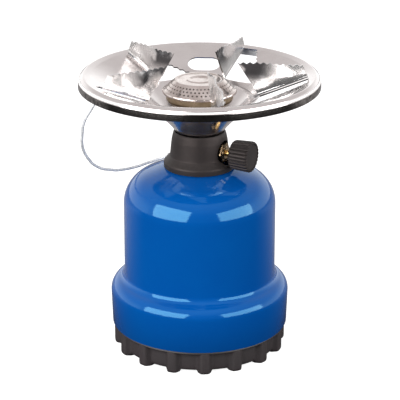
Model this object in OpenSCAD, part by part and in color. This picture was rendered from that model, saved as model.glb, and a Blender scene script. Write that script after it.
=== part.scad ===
// Camping stove that stands on its own gas cartridge.
// A cartridge goes into a bell-shaped housing and is held by a screwed base
// cup.  A valve with a side knob sits on the bell, and the burner stands on
// the valve.  A pressed dish with five lanced blades carries the pot, and a
// short wire ties the dish to the collar.
// Origin: centre of the base's underside.  +Z is up, +X runs along the knob.

/* [Base cup] */
// outer radius over the grip ribs
base_r = 53.3; // [50:0.1:56]
// radius of the panels between the ribs
panel_r = 49.5; // [46:0.1:52]
// height of the ribs under the flange
rib_h = 13.4; // [10:0.1:16]
// number of grip ribs
rib_count = 16; // [8:1:24]
// width of a rib at its outer face
rib_w = 5.8; // [3:0.1:9]
// turn of the first rib from +X
rib_turn = 8; // [0:0.5:22]
// outer radius of the thread wall
thread_r = 51.8; // [50:0.1:53]

/* [Cartridge] */
// radius of the gas cartridge
can_r = 45; // [40:0.5:46]
// height of its foot above the table
can_z = 6.5; // [5:0.1:10]
// height of the straight wall's upper end
can_wall_z = 86; // [70:1:92]

/* [Bell housing] */
// radius of the bell's wall
bell_r = 46.6; // [44:0.1:50]
// radius of the flange at its lower edge
flange_r = 54.3; // [52:0.1:56]
// lower edge of the flange
flange_z = 15.25; // [14:0.05:18]
// height of the flange's shoulder centre
shoulder_z = 36; // [28:0.5:40]
// radius at the flange's widest point
flange_top_r = 55; // [52:0.1:57]
// rounding of the flange's shoulder
shoulder_r = 8; // [3:0.5:12]
// hollow rounding between the shoulder and the wall
fillet_r = 5; // [2:0.5:10]
// upper end of the straight wall
bell_wall_z = 92.5; // [85:0.5:98]
// radius of the upper shoulder
bell_round = 20; // [10:1:26]
// slope of the cone under the collar
bell_slope = 20; // [10:1:35]
// sheet thickness
bell_t = 0.8; // [0.5:0.1:1.5]

/* [Valve and knob] */
// height of the spindle's axis
axis_z = 126.75; // [122:0.25:132]
// radius of the valve block
block_r = 12.5; // [10:0.5:14]
// spindle radius
spindle_r = 2; // [1.5:0.1:3]
// inner end of the knob
knob_x = 23; // [19:0.5:26]
// length of the knob
knob_len = 12.6; // [10:0.2:20]
// radius of the knob at its outer end
knob_r = 9.5; // [7:0.1:12]
// number of grooves round the knob
knob_grooves = 24; // [12:1:32]

/* [Burner] */
// radius of the cap's lower rim
cap_r = 22.5; // [18:0.5:26]
// radius of the cap's flat top
cap_top_r = 15.5; // [12:0.5:18]
// height of the cap's lower rim
cap_z = 163.5; // [155:0.5:168]
// height of the cap's top
cap_top_z = 170.9; // [165:0.1:175]
// holes in each row of the cap
cap_holes = 48; // [12:2:60]
// radius of a cap hole
cap_hole_r = 0.55; // [0.3:0.05:0.8]

/* [Dish] */
// outer radius of the dish
dish_r = 73; // [65:0.5:80]
// lower edge of its skirt
skirt_z = 167.2; // [160:0.1:172]
// height of the blade tops
blade_top = 182; // [176:0.5:190]
// blade thickness
blade_t = 0.9; // [0.6:0.1:1.5]
// turn of each pot blade from +X
blade_turns = [20, 91.5, 160, 236.5, 309];
// length of the slot in the dish
slot_len = 20.6; // [10:0.2:24]
// width of the slot
slot_w = 13; // [6:0.2:14]
// direction of the slot
slot_turn = 113.6; // [0:0.2:359]
// sheet thickness of the dish
dish_t = 0.8; // [0.5:0.1:1.2]

/* [Tether] */
// diameter of the wire with its sleeve
wire_d = 1.8; // [1:0.1:3]

/* [Hidden] */
$fn = 96;

BLUE = [0.03, 0.36, 0.66];
BLACK = [0.12, 0.12, 0.12];
STEEL = [0.72, 0.72, 0.73];
BRASS = [0.80, 0.62, 0.32];
RUBBER = [0.05, 0.05, 0.05];
WHITE = [0.90, 0.90, 0.88];

// points of an arc in radius and height, from angle a to angle b
function arc(cr, cz, r, a, b, n = 6) =
    [for (i = [0:n]) [cr + r * cos(a + (b - a) * i / n),
                      cz + r * sin(a + (b - a) * i / n)]];
function unit(v) = v / norm(v);
// normal on the right-hand side of the step from p to q
function side(p, q) = let (d = unit(q - p)) [d[1], -d[0]];
// the path moved by d to its right-hand side
function moved(p, d) = let (n = len(p) - 1)
    [for (i = [0:n]) let (
        u = i > 0 ? side(p[i - 1], p[i]) : side(p[0], p[1]),
        v = i < n ? side(p[i], p[i + 1]) : side(p[n - 1], p[n]),
        m = unit(u + v)) p[i] + m * d / (m * u)];
function back(p) = [for (i = [len(p) - 1:-1:0]) p[i]];

// turned sheet metal: a path in radius and height with a wall thickness
module shell(path, t) {
    rotate_extrude() polygon(concat(path, back(moved(path, t))));
}
// turned ring with a square section
module ring(ro, ri, z0, z1) {
    translate([0, 0, z0]) difference() {
        cylinder(r = ro, h = z1 - z0);
        translate([0, 0, -1]) cylinder(r = ri, h = z1 - z0 + 2);
    }
}
// round bar along +X on the spindle's axis
module bar_x(r, x0, x1) {
    translate([x0, 0, axis_z]) rotate([0, 90, 0]) cylinder(r = r, h = x1 - x0);
}

// ---- base cup ----
base_path = [[0, 3], [39, 3], [40, 0], [45.6, 0], [46.6, 1.4],
    [panel_r - 0.6, 1.4], [panel_r, 2], [panel_r, rib_h - 0.3],
    [base_r, rib_h], [base_r, 14.9], [thread_r, 14.9], [thread_r, 29.4],
    [thread_r - 0.6, 30], [50, 30], [50, 16], [47.4, 13], [47.4, 5.6],
    [0, 5.6]];
rib_path = [[46.8, 0], [base_r - 0.9, 0], [base_r - 0.2, 0.4], [base_r, 1.2],
    [base_r, rib_h + 0.5], [46.8, rib_h + 0.5]];

module base_cup() color(BLACK) {
    rotate_extrude() polygon(base_path);
    difference() {
        intersection() {
            rotate_extrude() polygon(rib_path);
            union() for (i = [0:rib_count - 1])
                rotate([0, 0, rib_turn + i * 360 / rib_count])
                    translate([0, 0, -1]) linear_extrude(rib_h + 3)
                        polygon([[44, -rib_w / 2 - 1], [54, -rib_w / 2],
                                 [54, rib_w / 2], [44, rib_w / 2 + 1]]);
        }
        translate([0, 0, 1.4]) cylinder(r = 48.5, h = 20);
    }
}

module slip_washer() color(WHITE) ring(43.5, 30, 5.62, 6.42);

// ---- cartridge ----
can_path = concat([[0, 12], [30, 9.5], [39, 6.9]],
    [[41, can_z], [43.6, can_z], [can_r, can_z + 1.4], [can_r, can_wall_z]],
    arc(can_r - 12, can_wall_z, 12, 10, 80, 5),
    [[12, 101.4], [1.8, 101.4]]);

module cartridge() color(WHITE) shell(can_path, -0.4);

// ---- bell housing ----
shoulder_c = flange_top_r - shoulder_r;
fillet_c = bell_r + fillet_r;
fillet_z = shoulder_z
    + sqrt(pow(shoulder_r + fillet_r, 2) - pow(fillet_c - shoulder_c, 2));
fillet_a = atan2(fillet_z - shoulder_z, fillet_c - shoulder_c);
arc_r = bell_r - bell_round;
cone_r = arc_r + bell_round * sin(bell_slope);
cone_z = bell_wall_z + bell_round * cos(bell_slope);
crown_z = cone_z + (cone_r - 17) * tan(bell_slope);
bell_path = concat([[flange_r, flange_z]],
    arc(shoulder_c, shoulder_z, shoulder_r, 0, fillet_a, 8),
    arc(fillet_c, fillet_z, fillet_r, fillet_a + 176, 180, 5),
    arc(arc_r, bell_wall_z, bell_round, 0, 90 - bell_slope, 8),
    [[17, crown_z], [9.2, crown_z]]);

module bell_housing() color(BLUE) shell(bell_path, -bell_t);
module thread_ring() color(STEEL) ring(53.5, thread_r + 0.07, 18, 32);

// ---- seal and needle under the valve ----
module cartridge_seal() color(RUBBER) ring(7.6, 2, 101.7, 104.5);
module seal_cup() color(STEEL) difference() {
    translate([0, 0, 101.9]) cylinder(r = 9.6, h = 5);
    translate([0, 0, 101]) cylinder(r = 7.7, h = 4.5);
    translate([0, 0, 100]) cylinder(r = 3.1, h = 10);
}
module piercing_needle() color(STEEL) difference() {
    union() {
        translate([0, 0, 97.4]) cylinder(r = 1.5, h = 9);
        translate([0, 0, 105.6]) cylinder(r = 3, h = 2);
        translate([0, 0, 95.4]) cylinder(r1 = 0.8, r2 = 1.5, h = 2);
    }
    translate([0, 0, 95]) cylinder(r = 0.5, h = 14);
}
module clamp_nut() color(BRASS) difference() {
    translate([0, 0, crown_z - 4.6]) cylinder(r = 13.6, h = 3.7, $fn = 6);
    translate([0, 0, crown_z - 6]) cylinder(r = 8.9, h = 8);
}
module bell_gasket() color(RUBBER) ring(14, 9, crown_z + 0.02, crown_z + 0.7);

// ---- valve ----
module valve_body() color(BRASS) difference() {
    union() {
        translate([0, 0, 107.7]) cylinder(r = 8.8, h = 12);
        translate([0, 0, crown_z + 0.74])
            cylinder(r = block_r, h = 134 - crown_z - 0.74);
        translate([0, 0, 133]) cylinder(r = 8.4, h = 3);
        translate([0, 0, 135]) cylinder(r = 6.4, h = 11);
        bar_x(7, 0, 13);
    }
    // gas way from the needle up to the seat
    translate([0, 0, 107]) cylinder(r = 6, h = 5);
    translate([-5, 0, 111]) cylinder(r = 1.2, h = axis_z - 110);
    bar_x(0.8, -5, 1);
    // spindle chamber and the wider seat of its seal
    bar_x(2.62, -1, 14);
    bar_x(4.5, 8.5, 14);
    // gas way from the chamber to the jet
    translate([0, 0, axis_z]) cylinder(r = 1, h = 25);
    translate([0, 0, 141]) cylinder(r = 2.45, h = 6);
}
module gland_nut() color(BRASS) difference() {
    union() {
        bar_x(4.42, 10.8, 14);
        translate([13.1, 0, axis_z]) rotate([0, 90, 0])
            cylinder(r = 6.35, h = 4.4, $fn = 6);
    }
    bar_x(spindle_r + 0.06, 10, 19);
}
module stem_seal() color(RUBBER) difference() {
    bar_x(4.44, 8.6, 9.6);
    bar_x(spindle_r + 0.04, 8, 10);
}
module valve_spindle() color(BRASS) {
    bar_x(spindle_r, 0.4, 33);
    bar_x(2.56, 1, 6);
    translate([-0.9, 0, axis_z]) rotate([0, 90, 0])
        cylinder(r1 = 0.6, r2 = spindle_r, h = 1.5);
}
module control_knob() color(BLACK) difference() {
    translate([knob_x, 0, axis_z]) rotate([0, 90, 0]) union() {
        cylinder(r1 = knob_r - 1.4, r2 = knob_r - 0.5, h = 0.9);
        translate([0, 0, 0.9])
            cylinder(r1 = knob_r - 0.5, r2 = knob_r, h = knob_len - 1.9);
        translate([0, 0, knob_len - 1])
            cylinder(r1 = knob_r, r2 = knob_r - 0.9, h = 1);
    }
    for (i = [0:knob_grooves - 1])
        translate([knob_x - 1, 0, axis_z]) rotate([i * 360 / knob_grooves, 0, 0])
            translate([0, 0, knob_r + 0.15]) rotate([0, 90, 0])
                cylinder(r = 0.75, h = knob_len + 2, $fn = 16);
    bar_x(spindle_r + 0.03, knob_x - 1, 33.2);
}
module gas_jet() color(BRASS) difference() {
    union() {
        translate([0, 0, 141.2]) cylinder(r = 2.4, h = 6);
        translate([0, 0, 146.1]) cylinder(r = 3.4, h = 2.6, $fn = 6);
        translate([0, 0, 148.6]) cylinder(r1 = 2.2, r2 = 1.2, h = 1.4);
    }
    translate([0, 0, 140]) cylinder(r = 0.25, h = 12, $fn = 24);
}

// ---- burner ----
module dish_nut() color(BRASS) difference() {
    translate([0, 0, 137.8]) cylinder(r = 10.9, h = 3.6, $fn = 6);
    translate([0, 0, 137]) cylinder(r = 6.5, h = 6);
}
module mixing_tube() color(BRASS) difference() {
    union() {
        translate([0, 0, 141.5]) cylinder(r = 8, h = 19);
        translate([0, 0, 141.5]) cylinder(r = 8.8, h = 2);
    }
    translate([0, 0, 141]) cylinder(r = 6.5, h = 21);
    for (a = [0, 90]) translate([0, 0, 152]) rotate([0, 90, a])
        cylinder(r = 2, h = 40, center = true);
}
bowl_path = [[8.05, 154.8], [9.6, 154.8], [16.8, 156.2], [19.4, 157.9],
    [20.3, 160.2], [20.3, 164.6]];
module burner_bowl() color(BRASS) shell(bowl_path, -0.9);
module flame_disc() color(STEEL) difference() {
    translate([0, 0, 163.2]) cylinder(r = 19.2, h = 0.6);
    for (a = [0:30:330]) for (r = [6, 12])
        rotate([0, 0, a]) translate([r, 0, 160])
            cylinder(r = 1.1, h = 8, $fn = 24);
}
cap_path = concat([[9, cap_top_z], [cap_top_r - 1, cap_top_z],
    [cap_top_r + 0.3, cap_top_z - 0.5]],
    [[cap_r - 1, cap_z + 1.5], [cap_r - 0.3, cap_z + 0.9]],
    [[cap_r, cap_z + 0.3], [cap_r, cap_z - 0.6]]);
crown_path = [[0, cap_top_z - 0.5], [6, cap_top_z - 0.5], [6.7, cap_top_z + 0.2],
    [7.6, cap_top_z + 0.2], [8.4, cap_top_z], [9, cap_top_z]];
cone_dr = cap_r - 1 - cap_top_r - 0.3;
cone_dz = cap_top_z - 0.5 - cap_z - 1.5;
module burner_cap() color(STEEL) difference() {
    shell(concat(crown_path, [for (i = [1:len(cap_path) - 1]) cap_path[i]]),
          0.7);
    for (row = [0:2]) for (i = [0:cap_holes - 1])
        rotate([0, 0, (i + (row % 2) / 2) * 360 / cap_holes])
            translate([cap_r - 1 - cone_dr * (0.2 + 0.3 * row), 0,
                       cap_z + 1.5 + cone_dz * (0.2 + 0.3 * row)])
                rotate([0, atan2(cone_dz, cone_dr), 0])
                    cylinder(r = cap_hole_r, h = 4, center = true, $fn = 14);
}

// ---- collar ----
collar_path = [[14.7, 138.1], [15.3, 138.6], [15.9, 138.1], [16.7, 135.6],
    [17.2, 132.4], [17.5, 129.2], [17.8, 126], [18.1, 123.4], [19.8, 121.5],
    [21.5, 119.7], [21.8, 119.0], [21.8, 115.9], [20.3, 116.3], [20.3, 118.6],
    [18.5, 120.5], [16.7, 122.6], [16.3, 126], [16, 129.2], [15.7, 132.4],
    [15.5, 134.2], [8.6, 134.2], [8.6, 135.8], [14.6, 135.8]];
module collar_shroud() color(BLACK) difference() {
    rotate_extrude() polygon(collar_path);
    bar_x(7.6, 8, 40);
    collar_sleeve(1.44, 2);
}

// ---- dish ----
floor_a = atan2(173.4 - 161.5, 65 - 36);
dish_path = [[6.6, 136.9], [12, 136.9], [13.4, 138.6], [17, 143],
    [32, 159], [33.4, 160.2], [36, 161.5], [65, 173.4], [67.4, 174.1],
    [69.7, 174], [71.4, 173.1], [72.2, 172], [72.3, 171.6], [72.9, 171.2],
    [dish_r, 170.6], [dish_r, skirt_z]];
// pot blade in fold-line coordinates, with a saw edge on its top
teeth = 10;
blade_a = [31.82, 9.09];
blade_b = [-4.88, 24.16];
tooth = (blade_b - blade_a) / teeth;
tooth_n = unit([tooth[1], -tooth[0]]);
blade_pts = concat([[0, 0], [31.8, 0]],
    [for (i = [0:teeth - 1]) each [blade_a + tooth * (i + 0.15),
                                   blade_a + tooth * (i + 0.5) - tooth_n * 0.9,
                                   blade_a + tooth * (i + 0.85)]]);

module on_fold(a) {
    rotate([0, 0, a]) translate([36, 0, 161.5]) rotate([0, -floor_a, 0])
        children();
}
module blade(a) {
    on_fold(a) rotate([90, 0, 0]) linear_extrude(blade_t, center = true)
        polygon(blade_pts);
}
module blade_hole(a) {
    on_fold(a) mirror([0, 1, 0]) linear_extrude(16, center = true)
        polygon(blade_pts);
}
module slot() {
    rotate([0, 0, slot_turn]) translate([48, 0, 166.4])
        rotate([0, -floor_a, 0]) {
            for (s = [-1, 1]) translate([0, s * (slot_len - slot_w) / 2, -6])
                cylinder(r = slot_w / 2, h = 12);
            cube([slot_w, slot_len - slot_w, 12], center = true);
        }
}
module pan_dish() color(STEEL) {
    difference() {
        shell(dish_path, dish_t);
        for (a = blade_turns) blade_hole(a);
        slot();
    }
    for (a = blade_turns) blade(a);
    difference() {
        dish_tab();
        dish_sleeve(1.58, 2);
    }
}
// lug under the rim that holds the wire's upper ferrule
module dish_tab() {
    rotate([0, 0, 238]) translate([65.6, -3, 168]) {
        cube([6.7, 6, 3.6]);
        cube([5, 6, 5]);
    }
}

// ---- tether ----
wire_pts = [[-37, -58.5, 170], [-38.5, -60, 166], [-40.8, -60.7, 162],
    [-43.3, -61.3, 158], [-45.3, -60.9, 154], [-46.9, -59.7, 150],
    [-48, -58, 146], [-49.5, -56.5, 142], [-50.5, -54.5, 138],
    [-51.5, -52, 134.5], [-52, -49, 130.5], [-52, -46.5, 127.5],
    [-52, -43, 124], [-52, -40, 121], [-51.5, -36, 118.5],
    [-50.5, -32.5, 116], [-49.5, -28.5, 114.5], [-48.5, -24, 113],
    [-47, -20, 111.5], [-45.5, -16, 111], [-43.5, -11.5, 110.5],
    [-41.5, -7.5, 110.5], [-39, -4, 111], [-36.5, -0.5, 112],
    [-33, 2.5, 113], [-29.5, 5, 114.5], [-25.5, 6, 116], [-21.5, 6, 118]];
wire_n = len(wire_pts);
function heading(i) = unit(wire_pts[min(i + 1, wire_n - 1)]
                           - wire_pts[max(i - 1, 0)]);
function hoop(i) = let (t = heading(i), u = unit(cross(t, [1, 0, 0])),
                        v = cross(t, u))
    [for (k = [0:7]) wire_pts[i]
        + (u * cos(k * 45) + v * sin(k * 45)) * wire_d / 2];
module tether_wire() color(STEEL) {
    skin = [for (i = [0:wire_n - 2]) for (k = [0:7])
        [i * 8 + k, i * 8 + (k + 1) % 8, (i + 1) * 8 + (k + 1) % 8,
         (i + 1) * 8 + k]];
    first = [for (k = [7:-1:0]) k];
    last = [for (k = [0:7]) (wire_n - 1) * 8 + k];
    polyhedron(points = [for (i = [0:wire_n - 1]) each hoop(i)],
               faces = concat([first], skin, [last]), convexity = 10);
}
// a round bar of radius r from point a to point b, longer by e at both ends
module rod(a, b, r, e = 0) {
    d = b - a;
    translate(a) rotate([0, acos(d[2] / norm(d)), atan2(d[1], d[0])])
        translate([0, 0, -e]) cylinder(r = r, h = norm(d) + 2 * e);
}
module dish_sleeve(r, e = 0) rod([-38.4, -59.2, 166], [-36.2, -58.1, 172.2], r, e);
module collar_sleeve(r, e = 0) rod([-24.8, 6, 116.8], [-18.8, 5.9, 119.2], r, e);
module dish_ferrule() color(STEEL) difference() {
    dish_sleeve(1.55);
    dish_sleeve(0.95, 1);
}
module collar_ferrule() color(STEEL) difference() {
    collar_sleeve(1.4);
    collar_sleeve(0.95, 1);
}

base_cup();
slip_washer();
cartridge();
bell_housing();
thread_ring();
cartridge_seal();
seal_cup();
piercing_needle();
clamp_nut();
bell_gasket();
valve_body();
gland_nut();
stem_seal();
valve_spindle();
control_knob();
gas_jet();
mixing_tube();
burner_bowl();
flame_disc();
burner_cap();
collar_shroud();
dish_nut();
pan_dish();
tether_wire();
dish_ferrule();
collar_ferrule();
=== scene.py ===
"""Camping stove on its own gas cartridge: the visible model.

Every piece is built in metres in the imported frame: +Z up from the base
cup's underside, +X along the valve spindle towards the knob.
"""

import logging
import math
from collections.abc import Callable, Sequence
from dataclasses import dataclass
from enum import Enum

import bmesh
import bpy
from mathutils import Matrix, Vector


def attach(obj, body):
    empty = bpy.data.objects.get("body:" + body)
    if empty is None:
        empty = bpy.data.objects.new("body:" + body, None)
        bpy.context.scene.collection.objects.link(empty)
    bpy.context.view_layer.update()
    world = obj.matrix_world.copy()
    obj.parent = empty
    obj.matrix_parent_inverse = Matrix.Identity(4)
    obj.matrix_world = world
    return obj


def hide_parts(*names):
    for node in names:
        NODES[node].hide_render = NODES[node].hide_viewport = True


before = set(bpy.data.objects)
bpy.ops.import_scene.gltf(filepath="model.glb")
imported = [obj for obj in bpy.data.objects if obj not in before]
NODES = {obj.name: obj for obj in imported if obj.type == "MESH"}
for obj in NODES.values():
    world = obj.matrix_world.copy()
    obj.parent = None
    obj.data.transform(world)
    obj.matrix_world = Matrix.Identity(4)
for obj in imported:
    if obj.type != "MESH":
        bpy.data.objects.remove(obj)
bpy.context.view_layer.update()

LOG = logging.getLogger("stove")
MM = 0.001
WELD = 1e-6
NEARLY_STRAIGHT = math.radians(89)
SIDE_SHARE = 0.48
MITRE_LIMIT = 0.3
Piece = bpy.types.Object
Tree = bpy.types.NodeTree
Socket = bpy.types.NodeSocket
PathPoint = tuple[float, float]
Corner = tuple[float, float, float]
Colour = tuple[float, float, float]


# --------------------------------------------------------------------------
# Workbench: small steps that every sub-assembly uses
# --------------------------------------------------------------------------

def deselect_all() -> None:
    """Leave edit mode and let go of every object."""
    if bpy.context.object and bpy.context.object.mode != "OBJECT":
        bpy.ops.object.mode_set(mode="OBJECT")
    bpy.ops.object.select_all(action="DESELECT")


def activate(piece: Piece) -> None:
    """Make one object the only selected and the active one."""
    deselect_all()
    piece.select_set(True)
    bpy.context.view_layer.objects.active = piece


def start_edit(piece: Piece) -> None:
    """Open a piece in edit mode with nothing selected."""
    activate(piece)
    bpy.ops.object.mode_set(mode="EDIT")
    bpy.ops.mesh.select_mode(type="VERT")
    bpy.ops.mesh.select_all(action="DESELECT")


def end_edit() -> None:
    """Close edit mode."""
    bpy.ops.object.mode_set(mode="OBJECT")


def close_up() -> None:
    """Point every face outwards and close edit mode."""
    bpy.ops.mesh.select_all(action="SELECT")
    bpy.ops.mesh.normals_make_consistent(inside=False)
    end_edit()


def pick(piece: Piece, test: Callable[[Vector], bool]) -> None:
    """Select the vertices that pass a test.

    Args:
        piece: a mesh in edit mode.
        test: takes a place in millimetres and says whether it is wanted.
    """
    bpy.ops.mesh.select_mode(type="VERT")
    bpy.ops.mesh.select_all(action="DESELECT")
    grid = bmesh.from_edit_mesh(piece.data)
    for vertex in grid.verts:
        if test(vertex.co / MM):
            vertex.select_set(True)
    grid.select_flush_mode()
    bmesh.update_edit_mesh(piece.data)


def apply_modifier(piece: Piece, kind: str,
                   **settings: object) -> None:
    """Add a modifier, set it and apply it.

    Args:
        piece: the piece it works on.
        kind: Blender's name of the modifier.
        settings: values for the modifier's own properties.
    """
    activate(piece)
    modifier = piece.modifiers.new(kind.title(), kind)
    for key, value in settings.items():
        setattr(modifier, key, value)
    bpy.ops.object.modifier_apply(modifier=modifier.name)


def settle(piece: Piece, place: Matrix | None = None) -> None:
    """Put a piece's place into its mesh, so its object is at the origin."""
    activate(piece)
    if place is not None:
        piece.matrix_world = place
    bpy.ops.object.transform_apply(location=True, rotation=True, scale=True)


def join(name: str, pieces: Sequence[Piece]) -> Piece:
    """Join meshes into one piece.

    Args:
        name: the joined piece's name.
        pieces: the meshes, of which the first stays.

    Returns:
        The joined piece.
    """
    activate(pieces[0])
    for other in pieces[1:]:
        other.select_set(True)
    bpy.ops.object.join()
    pieces[0].name = name
    return pieces[0]


def copy_of(piece: Piece, name: str) -> Piece:
    """Copy a piece together with its mesh."""
    twin = piece.copy()
    twin.data = piece.data.copy()
    twin.name = name
    bpy.context.scene.collection.objects.link(twin)
    return twin


def cut(piece: Piece, tool: Piece,
        operation: str = "DIFFERENCE") -> None:
    """Cut a tool's shape out of a piece, or keep only what both share."""
    apply_modifier(piece, "BOOLEAN", operation=operation, object=tool,
                   solver="EXACT")
    bpy.data.objects.remove(tool)


def bevel(piece: Piece, width: float, angle: float) -> None:
    """Bevel the edges sharper than an angle, by a width in millimetres."""
    apply_modifier(piece, "BEVEL", width=width * MM, segments=2,
                   limit_method="ANGLE", angle_limit=math.radians(angle))


def rod(sides: int, radius: float, depth: float) -> Piece:
    """Make a rod round the origin along Z, with sizes in millimetres."""
    deselect_all()
    bpy.ops.mesh.primitive_cylinder_add(vertices=sides, radius=radius * MM,
                                        depth=depth * MM)
    return bpy.context.object


def draw_line(name: str, points: Sequence[Vector],
              closed: bool = True) -> Piece:
    """Draw a line of edges by pulling one vertex from point to point.

    Args:
        name: the new object's name.
        points: places in metres.
        closed: join the last point to the first.

    Returns:
        The object, in edit mode with everything selected.
    """
    deselect_all()
    bpy.ops.mesh.primitive_plane_add(size=MM)
    piece = bpy.context.object
    piece.name = name
    bpy.ops.object.mode_set(mode="EDIT")
    bpy.ops.mesh.select_mode(type="VERT")
    bpy.ops.mesh.select_all(action="SELECT")
    bpy.ops.mesh.merge(type="CENTER")
    bpy.ops.transform.translate(value=points[0])
    stops = list(points) + ([points[0]] if closed else [])
    for here, there in zip(stops, stops[1:]):
        bpy.ops.mesh.extrude_vertices_move(
            TRANSFORM_OT_translate={"value": there - here})
    bpy.ops.mesh.select_all(action="SELECT")
    if closed:
        bpy.ops.mesh.remove_doubles(threshold=WELD)
    return piece


def prism(name: str, outline: Sequence[PathPoint],
          half: float) -> Piece:
    """Make a prism across the XY plane.

    Args:
        name: the new object's name.
        outline: its corners, in millimetres.
        half: half of its height.

    Returns:
        The prism.
    """
    piece = draw_line(name, [Vector((x, y, -half)) * MM for x, y in outline])
    bpy.ops.mesh.edge_face_add()
    bpy.ops.mesh.extrude_region_move(
        TRANSFORM_OT_translate={"value": (0, 0, 2 * half * MM)})
    close_up()
    return piece


def arc(cr: float, cz: float, r: float, first: float, last: float,
        steps: int = 8) -> list[PathPoint]:
    """Points of an arc in radius and height.

    Args:
        cr: radius of the arc's centre, in millimetres.
        cz: height of the arc's centre.
        r: the arc's own radius.
        first: first angle in degrees, 0 pointing outwards.
        last: last angle in degrees.
        steps: number of straight steps.

    Returns:
        The points in order.
    """
    turns = [math.radians(first + (last - first) * i / steps)
             for i in range(steps + 1)]
    return [(cr + r * math.cos(t), cz + r * math.sin(t)) for t in turns]


def rounded(corners: Sequence[Corner], steps: int = 5) -> list[PathPoint]:
    """Round the corners of a path.

    Args:
        corners: radius, height and rounding of each corner, in millimetres.
        steps: number of steps in each rounding.

    Returns:
        The path's points.
    """
    path: list[PathPoint] = []
    last = len(corners) - 1
    for i, (x, y, r) in enumerate(corners):
        here = Vector((x, y))
        if r <= 0 or i in (0, last):
            path.append((x, y))
            continue
        before = Vector(corners[i - 1][:2]) - here
        after = Vector(corners[i + 1][:2]) - here
        a, b = before.normalized(), after.normalized()
        half = math.acos(max(-1.0, min(1.0, a.dot(b)))) / 2
        if half > NEARLY_STRAIGHT:
            path.append((x, y))
            continue
        most = SIDE_SHARE * min(before.length, after.length)
        run = min(r / math.tan(half), most)
        radius = run * math.tan(half)
        centre = here + (a + b).normalized() * radius / math.sin(half)
        u, v = here + a * run - centre, here + b * run - centre
        for k in range(steps + 1):
            spoke = u.lerp(v, k / steps).normalized() * radius
            path.append(tuple(centre + spoke))
    return path


def moved(path: Sequence[PathPoint], by: float) -> list[PathPoint]:
    """Move a path to its right-hand side by a distance in millimetres."""
    def side(p: PathPoint, q: PathPoint) -> Vector:
        """Right-hand normal of the step from p to q."""
        d = (Vector(q) - Vector(p)).normalized()
        return Vector((d.y, -d.x))
    last = len(path) - 1
    result: list[PathPoint] = []
    for i, p in enumerate(path):
        u = side(path[i - 1], p) if i else side(path[0], path[1])
        v = side(p, path[i + 1]) if i < last else side(path[-2], path[-1])
        m = (u + v).normalized()
        result.append(tuple(Vector(p) + m * by / max(m.dot(u), MITRE_LIMIT)))
    return result


def walled(path: Sequence[PathPoint], wall: float) -> list[PathPoint]:
    """Close a path into a sheet of a wall thickness with soft rims.

    Args:
        path: the sheet's outer side.
        wall: thickness, positive to the path's right-hand side.

    Returns:
        A closed outline.
    """
    inner = moved(path, wall)
    lip = abs(wall) * 0.3

    def tip(a: PathPoint, b: PathPoint, before: PathPoint) -> PathPoint:
        """A point just past the end between both sides."""
        way = (Vector(a) - Vector(before)).normalized()
        return tuple((Vector(a) + Vector(b)) / 2 + way * lip)
    return ([tip(path[0], inner[0], path[1])] + list(path)
            + [tip(path[-1], inner[-1], path[-2])] + inner[::-1])


def turn(name: str, path: Sequence[PathPoint], steps: int = 144,
         closed: bool = True) -> Piece:
    """Turn a path round the stove's axis.

    Args:
        name: the piece's name.
        path: radius and height of each point, in millimetres.
        steps: number of steps round.
        closed: the path is an outline, not a line from axis to axis.

    Returns:
        The turned piece.
    """
    points = [Vector((max(r, 0.0) * MM, 0, z * MM)) for r, z in path]
    piece = draw_line(name, points, closed)
    bpy.ops.mesh.spin(steps=steps, angle=math.tau, center=(0, 0, 0),
                      axis=(0, 0, 1))
    bpy.ops.mesh.select_all(action="SELECT")
    bpy.ops.mesh.remove_doubles(threshold=2 * WELD)
    close_up()
    return piece


def fluted(name: str, period: Sequence[float], repeats: int,
           rings: Sequence[tuple[float, float]]) -> Piece:
    """Make a fluted tube from one outline that is pulled up ring by ring.

    Args:
        name: the piece's name.
        period: radius at each step of one flute, in millimetres.
        repeats: number of flutes.
        rings: height in millimetres and scale of each ring.

    Returns:
        The open tube, in edit mode, with its last ring selected.
    """
    count = len(period) * repeats
    deselect_all()
    bpy.ops.mesh.primitive_circle_add(vertices=count, radius=MM,
                                      fill_type="NOTHING")
    piece = bpy.context.object
    piece.name = name
    start_edit(piece)
    size = len(period)
    for k in range(size):
        def in_class(p: Vector, k: int = k) -> bool:
            """Say whether a vertex is the k-th of its flute."""
            index = round(math.degrees(math.atan2(p.y, p.x)) * count / 360)
            return index % size == k
        pick(piece, in_class)
        scale = period[k] * rings[0][1]
        bpy.ops.transform.resize(value=(scale, scale, 1),
                                 center_override=(0, 0, 0))
    bpy.ops.mesh.select_all(action="SELECT")
    bpy.ops.transform.translate(value=(0, 0, rings[0][0] * MM))
    for (z0, s0), (z1, s1) in zip(rings, rings[1:]):
        bpy.ops.mesh.extrude_region_move(
            TRANSFORM_OT_translate={"value": (0, 0, (z1 - z0) * MM)})
        scale = s1 / s0
        bpy.ops.transform.resize(value=(scale, scale, 1),
                                 center_override=(0, 0, z1 * MM))
    return piece


def along_x(x: float, z: float) -> Matrix:
    """Place of a piece made along +Z that points along +X at x, z in mm."""
    return (Matrix.Translation((x * MM, 0, z * MM))
            @ Matrix.Rotation(math.pi / 2, 4, "Y"))


# --------------------------------------------------------------------------
# Shared shader effects
# --------------------------------------------------------------------------

def add_node(tree: Tree, kind: str,
             inputs: dict[str | int, object] | None = None,
             **settings: object) -> bpy.types.Node:
    """Add a shader node.

    Args:
        tree: the node tree it goes in.
        kind: its type, without the leading "ShaderNode".
        inputs: a value or a source socket for each input that is used.
        settings: values for the node's own properties.

    Returns:
        The node.
    """
    node = tree.nodes.new("ShaderNode" + kind)
    for key, value in settings.items():
        setattr(node, key, value)
    for key, value in (inputs or {}).items():
        socket = node.inputs[key]
        if isinstance(value, Socket):
            tree.links.new(value, socket)
        elif socket.type == "RGBA":
            socket.default_value = (*value, 1.0)
        else:
            socket.default_value = value
    return node


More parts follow.
